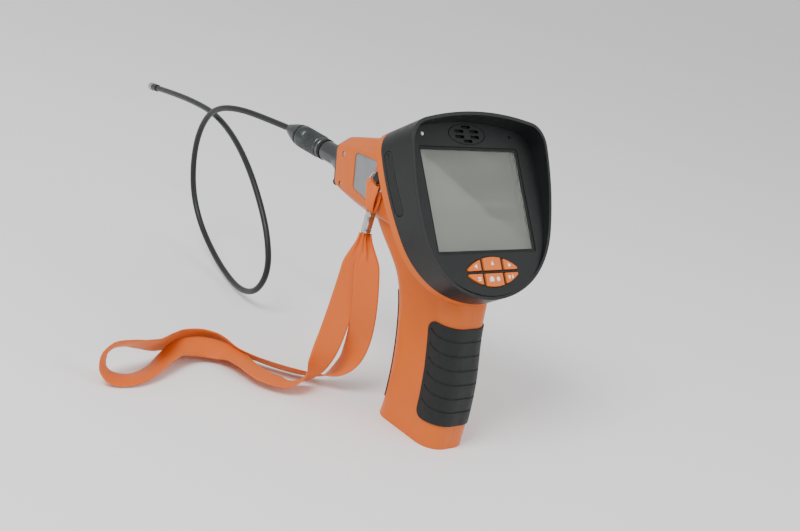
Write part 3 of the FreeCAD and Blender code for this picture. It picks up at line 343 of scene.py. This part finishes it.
NODE_FINISH = {
    "left_shell": ORANGE, "right_shell": ORANGE, "side_plate_left": PLATE,
    "side_plate_right": PLATE, "body_screws": STEEL, "nose_screws": STEEL, "head_shell": BLACK,
    "bezel_panel": BEZEL, "display_window": GLASS, "display_gasket": FOAM, "lcd_module": LCD,
    "speaker": FOAM, "microphone": STEEL, "indicator_led": LAMP, "main_board": BOARD,
    "board_screws": STEEL, "key_board": BOARD, "key_domes": STEEL, "port_door": DOOR,
    "card_socket": STEEL, "usb_socket": STEEL, "video_jack": BEZEL, "rear_grip": RUBBER,
    "front_grip": RUBBER, "battery_cell": CELL, "battery_holder": BEZEL, "nose_cone": NOSE,
    "probe_socket": SOCKET, "socket_insert": BEZEL, "seal_ring": FOAM, "coupling_nut": ANODISED,
    "probe_plug": ANODISED, "probe_sleeve": ANODISED, "nose_plug": DOOR, "gooseneck": SKIN,
    "probe_collar": SKIN, "camera_head": TIP, "probe_lens": LENS.material, "probe_leds": LAMP,
    "image_sensor": BOARD, "strap_lug": BLACK, "strap_clip": CHROME, "strap_loop": RIBBON,
    "strap_crimp": CHROME, "strap": RIBBON,
}
for name, node in nodes.items():
    finish = KEY if name.startswith(("key_upper", "key_lower")) else NODE_FINISH[name]
    node.data.materials.clear()
    node.data.materials.append(finish)


# ---------------------------------------------------------------- wrist strap

# The route's points, and the direction that the ribbon's width has at each of them.
STRAP_WIDE = 15 * MM
STRAP_THICK = 0.55 * MM
STRAP = [
    ((-31.9, 49, 49.9), (0.7, -0.72, 0.03)), ((-31.6, 48.5, 33), (0.69, -0.73, 0)),
    ((-32, 49, 14), (0.68, -0.74, -0.05)), ((-33, 49.5, -4), (0.7, -0.72, -0.07)),
    ((-35, 49.5, -21), (0.77, -0.62, -0.16)), ((-40, 49, -35.5), (0.85, -0.07, -0.53)),
    ((-49, 49, -43.5), (0.34, 0.75, -0.57)), ((-60, 51, -44.6), (0.48, 0.88, 0.01)),
    ((-69, 60, -43.8), (0.88, 0.47, 0.02)), ((-71.5, 72.5, -42.8), (0.99, 0.16, -0.07)),
    ((-72.5, 83, -42.2), (0.97, 0.22, 0.11)), ((-76, 92.5, -43), (0.69, 0.62, 0.37)),
    ((-86, 98, -42.3), (0.27, 0.86, 0.44)), ((-98.5, 99, -42.1), (-0.13, 0.96, 0.25)),
    ((-110.2, 94.9, -43.2), (-0.38, 0.88, -0.27)), ((-121.5, 88, -45.4), (-0.36, 0.81, -0.47)),
    ((-133.3, 82.1, -47.3), (-0.3, 0.88, -0.36)), ((-144.7, 78.9, -48.3), (-0.1, 0.99, -0.11)),
    ((-153.8, 79.9, -48.2), (0.21, 0.98, 0.08)), ((-159.8, 81.9, -45.6), (0.48, 0.87, 0.12)),
    ((-162.4, 83.7, -40.8), (0.7, 0.71, -0.07)), ((-161.8, 84.9, -35.4), (0.66, 0.59, -0.47)),
    ((-157.7, 86, -31.4), (0.25, 0.62, -0.74)), ((-150.6, 86.7, -30.2), (-0.11, 0.74, -0.66)),
    ((-140.3, 88.5, -31.6), (-0.29, 0.75, -0.59)), ((-128.3, 91.8, -34.8), (-0.42, 0.62, -0.67)),
    ((-114.3, 98.8, -38.4), (-0.38, 0.34, -0.86)), ((-99, 107.8, -41.6), (-0.21, 0.28, -0.94)),
    ((-88, 109, -41.2), (0, 0.44, -0.9)), ((-77, 108, -41.6), (0.22, 0.55, -0.8)),
    ((-69, 101, -41.5), (0.54, 0.48, -0.69)), ((-64.5, 90.5, -44), (0.69, 0.43, -0.58)),
    ((-58, 79.5, -44.5), (0.66, 0.5, -0.55)), ((-49, 69, -45), (0.58, 0.59, -0.56)),
    ((-39, 60, -45.2), (0.53, 0.65, -0.55)), ((-28.5, 52.5, -44.8), (0.62, 0.65, -0.44)),
    ((-20.5, 48, -37), (0.41, 0.88, 0.23)), ((-19, 43, -25.5), (-0.27, 0.92, 0.29)),
    ((-21.5, 39.5, -11), (-0.64, 0.77, 0.01)), ((-24.7, 38, 4), (-0.71, 0.69, -0.13)),
    ((-27, 39.5, 19.5), (-0.72, 0.66, -0.2)), ((-28, 44, 35), (-0.72, 0.65, -0.23)),
    ((-28.1, 48.8, 49.4), (-0.72, 0.65, -0.22)),
]
GATHERED = 4.4 * MM
GATHER_LONG = 22 * MM
RIBBON_STEP = 1.6 * MM
RIBBON_COLUMNS = 13
FLOOR_GAP = 0.25 * MM
PLEAT_DEEP = 1.1 * MM
PLEAT_TURNS = 7.0
BOW_MIDDLE = 0.35
STRAP_CURL = 0.05


def ribbon(name, points, widths, sizes, thick, curl, material):
    """A flat ribbon with thickness, along points, with its own width direction and size at each."""
    along = tangents(points)
    verts = []
    uvs = []
    travelled = 0.0
    columns = RIBBON_COLUMNS
    for i, point in enumerate(points):
        if i:
            travelled += (point - points[i - 1]).length
        side = (widths[i] - along[i] * widths[i].dot(along[i])).normalized()
        face = along[i].cross(side).normalized()
        half = sizes[i] / 2
        fold = 1 - sizes[i] / STRAP_WIDE
        for layer in (1, -1):
            order = range(columns) if layer == 1 else reversed(range(columns))
            for j in order:
                share = 2 * j / (columns - 1) - 1
                bow = curl * (share * share - BOW_MIDDLE) * half
                pleat = fold * PLEAT_DEEP * math.sin(share * PLEAT_TURNS)
                place = point + side * (share * half) + face * (bow + pleat + layer * thick / 2)
                verts.append(place)
                uvs.append((travelled / MM, share * half / MM))
    faces = with_caps(grid_faces(len(points), 2 * columns), len(points), 2 * columns)
    piece = add_mesh(name, verts, faces, material=material)
    add_uv(piece, uvs)
    return piece


def strap():
    """The wrist strap's ribbon, gathered at both ends and kept above the floor."""
    line = spline_points("strap_line", [place for place, width in STRAP])
    directions = along_spline([Vector(width) for place, width in STRAP], len(line))
    points, widths = evenly(line, RIBBON_STEP, directions)
    last = len(points) - 1
    sizes = []
    for i in range(last + 1):
        spread = min(1.0, min(i, last - i) * RIBBON_STEP / GATHER_LONG)
        spread = spread * spread * (3 - 2 * spread)
        sizes.append(GATHERED + (STRAP_WIDE - GATHERED) * spread)
    along = tangents(points)
    for i, point in enumerate(points):
        side = (widths[i] - along[i] * widths[i].dot(along[i])).normalized()
        room = point.z - FLOOR_HEIGHT - FLOOR_GAP
        steep = room / (sizes[i] / 2)
        if abs(side.z) > steep:
            flat = Vector((side.x, side.y, 0))
            if flat.length < 1e-6:
                flat = Vector((along[i].y, -along[i].x, 0))
            level = math.sqrt(max(0.0, 1 - steep * steep))
            side = flat.normalized() * level + UP * math.copysign(steep, side.z)
        widths[i] = side
    piece = ribbon("strap_ribbon", points, widths, sizes, STRAP_THICK, STRAP_CURL, RIBBON)
    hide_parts("strap")


strap()


# ---------------------------------------------------------------- gooseneck

GOOSENECK = [
    (0, 170.5, 70), (0, 198, 67.5), (-2, 221, 65), (-2, 242, 59), (1, 258, 48), (5, 269, 30),
    (9, 273, 9), (11, 268, -12), (11, 254, -28), (8, 231, -39), (2, 202, -45), (-5, 173, -45),
    (-9, 152, -36), (-9, 146, -18), (-8, 156, 1), (-6, 173, 17), (-3, 198, 34), (2, 228, 45),
    (8, 261, 49), (13, 295, 46), (18, 328, 41), (22, 352, 36.5),
]
PROBE_RADIUS = 2.05 * MM
RIB_PITCH = 1.4 * MM
RIB_DEPTH = 0.07 * MM
RIB_STEPS = 4
TUBE_SIDES = 20


def gooseneck():
    """The sheathed gooseneck: fine ribs round a tube along its route."""
    points = evenly(spline_points("gooseneck_line", GOOSENECK), RIB_PITCH / RIB_STEPS)
    along = tangents(points)
    side = along[0].orthogonal().normalized()
    verts = []
    for i, point in enumerate(points):
        side = (side - along[i] * side.dot(along[i])).normalized()
        other = along[i].cross(side)
        wave = 0.5 + 0.5 * math.cos(2 * math.pi * i / RIB_STEPS)
        radius = PROBE_RADIUS - RIB_DEPTH * (1 - wave)
        for j in range(TUBE_SIDES):
            angle = 2 * math.pi * j / TUBE_SIDES
            verts.append(point + side * (radius * math.cos(angle))
                         + other * (radius * math.sin(angle)))
    faces = with_caps(grid_faces(len(points), TUBE_SIDES), len(points), TUBE_SIDES)
    piece = add_mesh("gooseneck_sheath", verts, faces, material=SKIN)
    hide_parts("gooseneck")


gooseneck()


# ---------------------------------------------------------------- turned pieces

PROBE_HEIGHT = 70 * MM


def lathe(name, profile, sides, body, relief=None):
    """A closed turned piece about the probe's axis; relief(forward, radius, angle) lowers it."""
    verts = []
    for forward, radius in profile:
        for j in range(sides):
            angle = 2 * math.pi * j / sides
            depth = relief(forward, radius, angle) if relief else 0.0
            r = (radius - depth) * MM
            verts.append((r * math.cos(angle), forward * MM, PROBE_HEIGHT + r * math.sin(angle)))
    rows = len(profile)
    faces = grid_faces(rows, sides)
    for j in range(sides):
        k = (j + 1) % sides
        faces.append(((rows - 1) * sides + j, (rows - 1) * sides + k, k, j))
    faces = [tuple(reversed(f)) for f in faces]
    return add_mesh(name, verts, faces, body=body)


NUT_START = 133.6
NUT_END = 157.0
NUT_RADIUS = 7.2
NUT_BORE = 5.5
NUT_NECK = 3.8
NUT_SHOULDER = 141.4
KNURL_FROM = 137.4
KNURL_TO = 148.6
KNURL_TEETH = 40
KNURL_DEPTH = 0.34
KNURL_PITCH = 1.15
KNURL_ROWS = 60
NUT_SIDES = 240
RING_END = 1.6


def coupling_nut():
    """The knurled nut: a light ring at its mouth, then crossed knurling between plain bands."""
    def knurl(forward, radius, angle):
        if not KNURL_FROM < forward < KNURL_TO or radius < NUT_RADIUS - 0.01:
            return 0.0
        turn = KNURL_TEETH * angle / 2
        climb = math.pi * forward / KNURL_PITCH * 0.5
        first = abs(math.sin(turn + climb))
        second = abs(math.sin(turn - climb))
        return KNURL_DEPTH * (1 - min(first, second)) ** 2

    profile = [(NUT_START, NUT_BORE), (NUT_START, NUT_RADIUS - 0.9),
               (NUT_START + 0.4, NUT_RADIUS - 0.5),
               (NUT_START + 1.5, NUT_RADIUS - 0.5), (NUT_START + 1.8, NUT_RADIUS - 0.9),
               (NUT_START + 2.6, NUT_RADIUS - 0.9), (NUT_START + 2.8, NUT_RADIUS - 0.5),
               (NUT_START + 3.2, NUT_RADIUS - 0.1), (NUT_START + 3.5, NUT_RADIUS)]
    for i in range(KNURL_ROWS + 1):
        profile.append((KNURL_FROM + (KNURL_TO - KNURL_FROM) * i / KNURL_ROWS, NUT_RADIUS))
    profile += [(KNURL_TO + 0.3, NUT_RADIUS - 0.3), (KNURL_TO + 0.7, NUT_RADIUS - 0.3),
                (KNURL_TO + 1.0, NUT_RADIUS), (NUT_END - 1.2, NUT_RADIUS),
                (NUT_END - 0.4, NUT_RADIUS - 0.35), (NUT_END, NUT_RADIUS - 0.9),
                (NUT_END, NUT_NECK), (NUT_SHOULDER, NUT_NECK), (NUT_SHOULDER, NUT_BORE)]
    piece = lathe("coupling_nut_knurled", profile, NUT_SIDES, "coupling_nut_body", knurl)
    piece.data.materials.append(ANODISED)
    piece.data.materials.append(RING)
    for face in piece.data.polygons:
        if face.center.y < (NUT_START + RING_END) * MM:
            face.material_index = 1
    piece.data.set_sharp_from_angle(angle=math.radians(50))
    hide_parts("coupling_nut")


coupling_nut()


# ---------------------------------------------------------------- key icons

HEAD_TILT = math.radians(53.3)
HEAD_PLACE = Vector((0, 0, 90 * MM))
HEAD_UP = Vector((0, math.cos(HEAD_TILT), math.sin(HEAD_TILT)))
HEAD_OUT = Vector((0, -math.sin(HEAD_TILT), math.cos(HEAD_TILT)))


def on_head(x, y, level):
    """A point in the object's frame, from millimetres across, up and out of the bezel's face."""
    return HEAD_PLACE + Vector((x * MM, 0, 0)) + HEAD_UP * (y * MM) + HEAD_OUT * (level * MM)


KEY_TOP = 1.0
ICON_RISE = 0.06


def disc(x, y, radius, sides=28):
    angles = [2 * math.pi * i / sides for i in range(sides)]
    return [(x + radius * math.cos(angle), y + radius * math.sin(angle)) for angle in angles]


def plate(x, y, wide, tall):
    return [(x - wide / 2, y - tall / 2), (x + wide / 2, y - tall / 2),
            (x + wide / 2, y + tall / 2), (x - wide / 2, y + tall / 2)]


def arrow(x, y, reach, angle):
    return [(x + reach * math.cos(angle + turn), y + reach * math.sin(angle + turn))
            for turn in (0.0, 2.2, -2.2)]


ICONS = {
    "key_upper_left": [arrow(-13.4, -37.6, 1.5, math.pi)],
    "key_upper_middle": [arrow(0, -36.3, 1.5, math.pi / 2)],
    "key_upper_right": [arrow(13.4, -37.6, 1.5, 0.0)],
    "key_lower_left": [plate(-12.2, -44.0, 2.6, 0.7), plate(-12.2, -45.3, 2.6, 0.7)],
    "key_lower_middle": [plate(-2.6, -45.2, 3.2, 2.2), plate(-2.6, -43.7, 1.2, 0.7),
                         disc(2.6, -45.1, 1.25)],
    "key_lower_right": [arrow(11.9, -44.4, 1.4, -math.pi / 2), plate(14.6, -44.2, 0.9, 1.9)],
}


def key_icons():
    """Plain marks that stand a little proud of the keys and ride with them."""
    for key, shapes in ICONS.items():
        verts = []
        faces = []
        for shape in shapes:
            first = len(verts)
            count = len(shape)
            for level in (KEY_TOP - ICON_RISE, KEY_TOP + ICON_RISE):
                verts += [on_head(x, y, level) for x, y in shape]
            faces.append(tuple(first + i for i in reversed(range(count))))
            faces.append(tuple(first + count + i for i in range(count)))
            for i in range(count):
                j = (i + 1) % count
                faces.append((first + i, first + j, first + count + j, first + count + i))
        piece = add_mesh(f"icon_{key}", verts, faces, body=f"{key}_body", material=ICON,
                         smooth=False)


key_icons()


# ---------------------------------------------------------------- strap fittings

BAR_A = Vector((-29, 58.4, 79.3)) * MM
BAR_B = Vector((-29, 47.6, 74.9)) * MM
CRIMP_MIDDLE = Vector((-30, 49, 0)) * MM
CRIMP_LOW = 50 * MM
CRIMP_TALL = 13 * MM
WRAP = 1.35 * MM
WRAP_STEPS = 6
LEG_STEPS = 14
LOOP_WIDE = 9.6
LOOP_NARROWS = 5.4
CRIMP_SIDES = 48
CRIMP_HALF_X = 2.7
CRIMP_HALF_Y = 2.3
CRIMP_CORNER = 0.6
# Heights up the crimp, each with how far its surface is drawn in there.
CRIMP_LEVELS = [(0.0, 0.35), (0.25, 0.1), (0.6, 0.0), (2.2, 0.0), (2.6, 0.16), (3.0, 0.0),
                (10.0, 0.0), (10.4, 0.16), (10.8, 0.0), (12.4, 0.0), (12.75, 0.1), (13.0, 0.35)]


def strap_loop():
    """The short ribbon folded over the clip's lower bar and gathered into the crimp."""
    middle = (BAR_A + BAR_B) / 2
    bar = (BAR_A - BAR_B).normalized()
    crimp_top = CRIMP_MIDDLE + UP * (CRIMP_LOW + CRIMP_TALL - 1.5 * MM)
    down = (crimp_top - middle).normalized()
    out = down.cross(bar).normalized()

    def leg(layer):
        """One side of the fold, from the crimp up to the bar, each point with its share down."""
        points = []
        for i in range(LEG_STEPS + 1):
            share = i / LEG_STEPS
            bulge = WRAP * (1 - share) + 0.5 * MM * share + 0.9 * MM * math.sin(math.pi * share)
            points.append((crimp_top.lerp(middle, 1 - share) + out * (layer * bulge), share))
        return points

    over = []
    for k in range(1, WRAP_STEPS):
        angle = math.pi * k / WRAP_STEPS
        place = middle - down * (WRAP * math.sin(angle)) + out * (WRAP * math.cos(angle))
        over.append((place, 0.0))
    line = list(reversed(leg(1))) + over + leg(-1)
    places = [place for place, share in line]
    widths = [bar.lerp(Vector((0, 1, 0)), share) for place, share in line]
    sizes = [(LOOP_WIDE - LOOP_NARROWS * share ** 1.6) * MM for place, share in line]
    piece = ribbon("strap_loop_ribbon", places, widths, sizes, 0.6 * MM, 0.0, RIBBON)
    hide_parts("strap_loop")


strap_loop()


def strap_crimp():
    """The folded metal crimp: two rounded barrels with a groove between them."""
    verts = []
    for level, less in CRIMP_LEVELS:
        for j in range(CRIMP_SIDES):
            angle = 2 * math.pi * j / CRIMP_SIDES
            c, d = math.cos(angle), math.sin(angle)
            x = CRIMP_HALF_X * math.copysign(abs(c) ** CRIMP_CORNER, c)
            y = CRIMP_HALF_Y * math.copysign(abs(d) ** CRIMP_CORNER, d)
            waist = 0.75 * math.exp(-(y / 0.55) ** 2)
            x -= math.copysign(waist + less, x)
            y -= math.copysign(min(less, abs(y)), y)
            verts.append(CRIMP_MIDDLE + Vector((x * MM, y * MM, CRIMP_LOW + level * MM)))
    rows = len(CRIMP_LEVELS)
    faces = with_caps(grid_faces(rows, CRIMP_SIDES), rows, CRIMP_SIDES)
    piece = add_mesh("strap_crimp_folded", verts, faces, material=CHROME)
    piece.data.set_sharp_from_angle(angle=math.radians(40))
    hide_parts("strap_crimp")


strap_crimp()


# ---------------------------------------------------------------- stage

def stage():
    """A plain floor at the height that the part rests on, under an even white sky."""
    reach = 6.0
    corners = [(-reach, -reach, FLOOR_HEIGHT), (reach, -reach, FLOOR_HEIGHT),
               (reach, reach, FLOOR_HEIGHT), (-reach, reach, FLOOR_HEIGHT)]
    mesh = bpy.data.meshes.new("floor")
    mesh.from_pydata(corners, [], [(0, 1, 2, 3)])
    floor = bpy.data.objects.new("floor", mesh)
    bpy.context.scene.collection.objects.link(floor)
    paper = Finish("paper", (0.93, 0.93, 0.93), 0.9)
    paper.vary_colour(paper.noise(3.0), 0.01)
    mesh.materials.append(paper.material)

    world = bpy.data.worlds.new("studio")
    world.use_nodes = True
    sky = world.node_tree.nodes["Background"]
    sky.inputs["Color"].default_value = (1, 1, 1, 1)
    sky.inputs["Strength"].default_value = 0.8
    bpy.context.scene.world = world


def area_light(name, place, target, size, power):
    data = bpy.data.lights.new(name, "AREA")
    data.size = size
    data.energy = power
    light = bpy.data.objects.new(name, data)
    direction = Vector(target) - Vector(place)
    light.rotation_euler = direction.to_track_quat("-Z", "Y").to_euler()
    light.location = place
    bpy.context.scene.collection.objects.link(light)


stage()
area_light("key", (-0.9, -0.1, 1.1), (0, 0.05, 0.05), 0.6, 16)
area_light("fill", (0.5, -1.1, 0.7), (0, 0, 0.06), 0.9, 6)

# ---------------------------------------------------------------- update

bpy.context.view_layer.update()
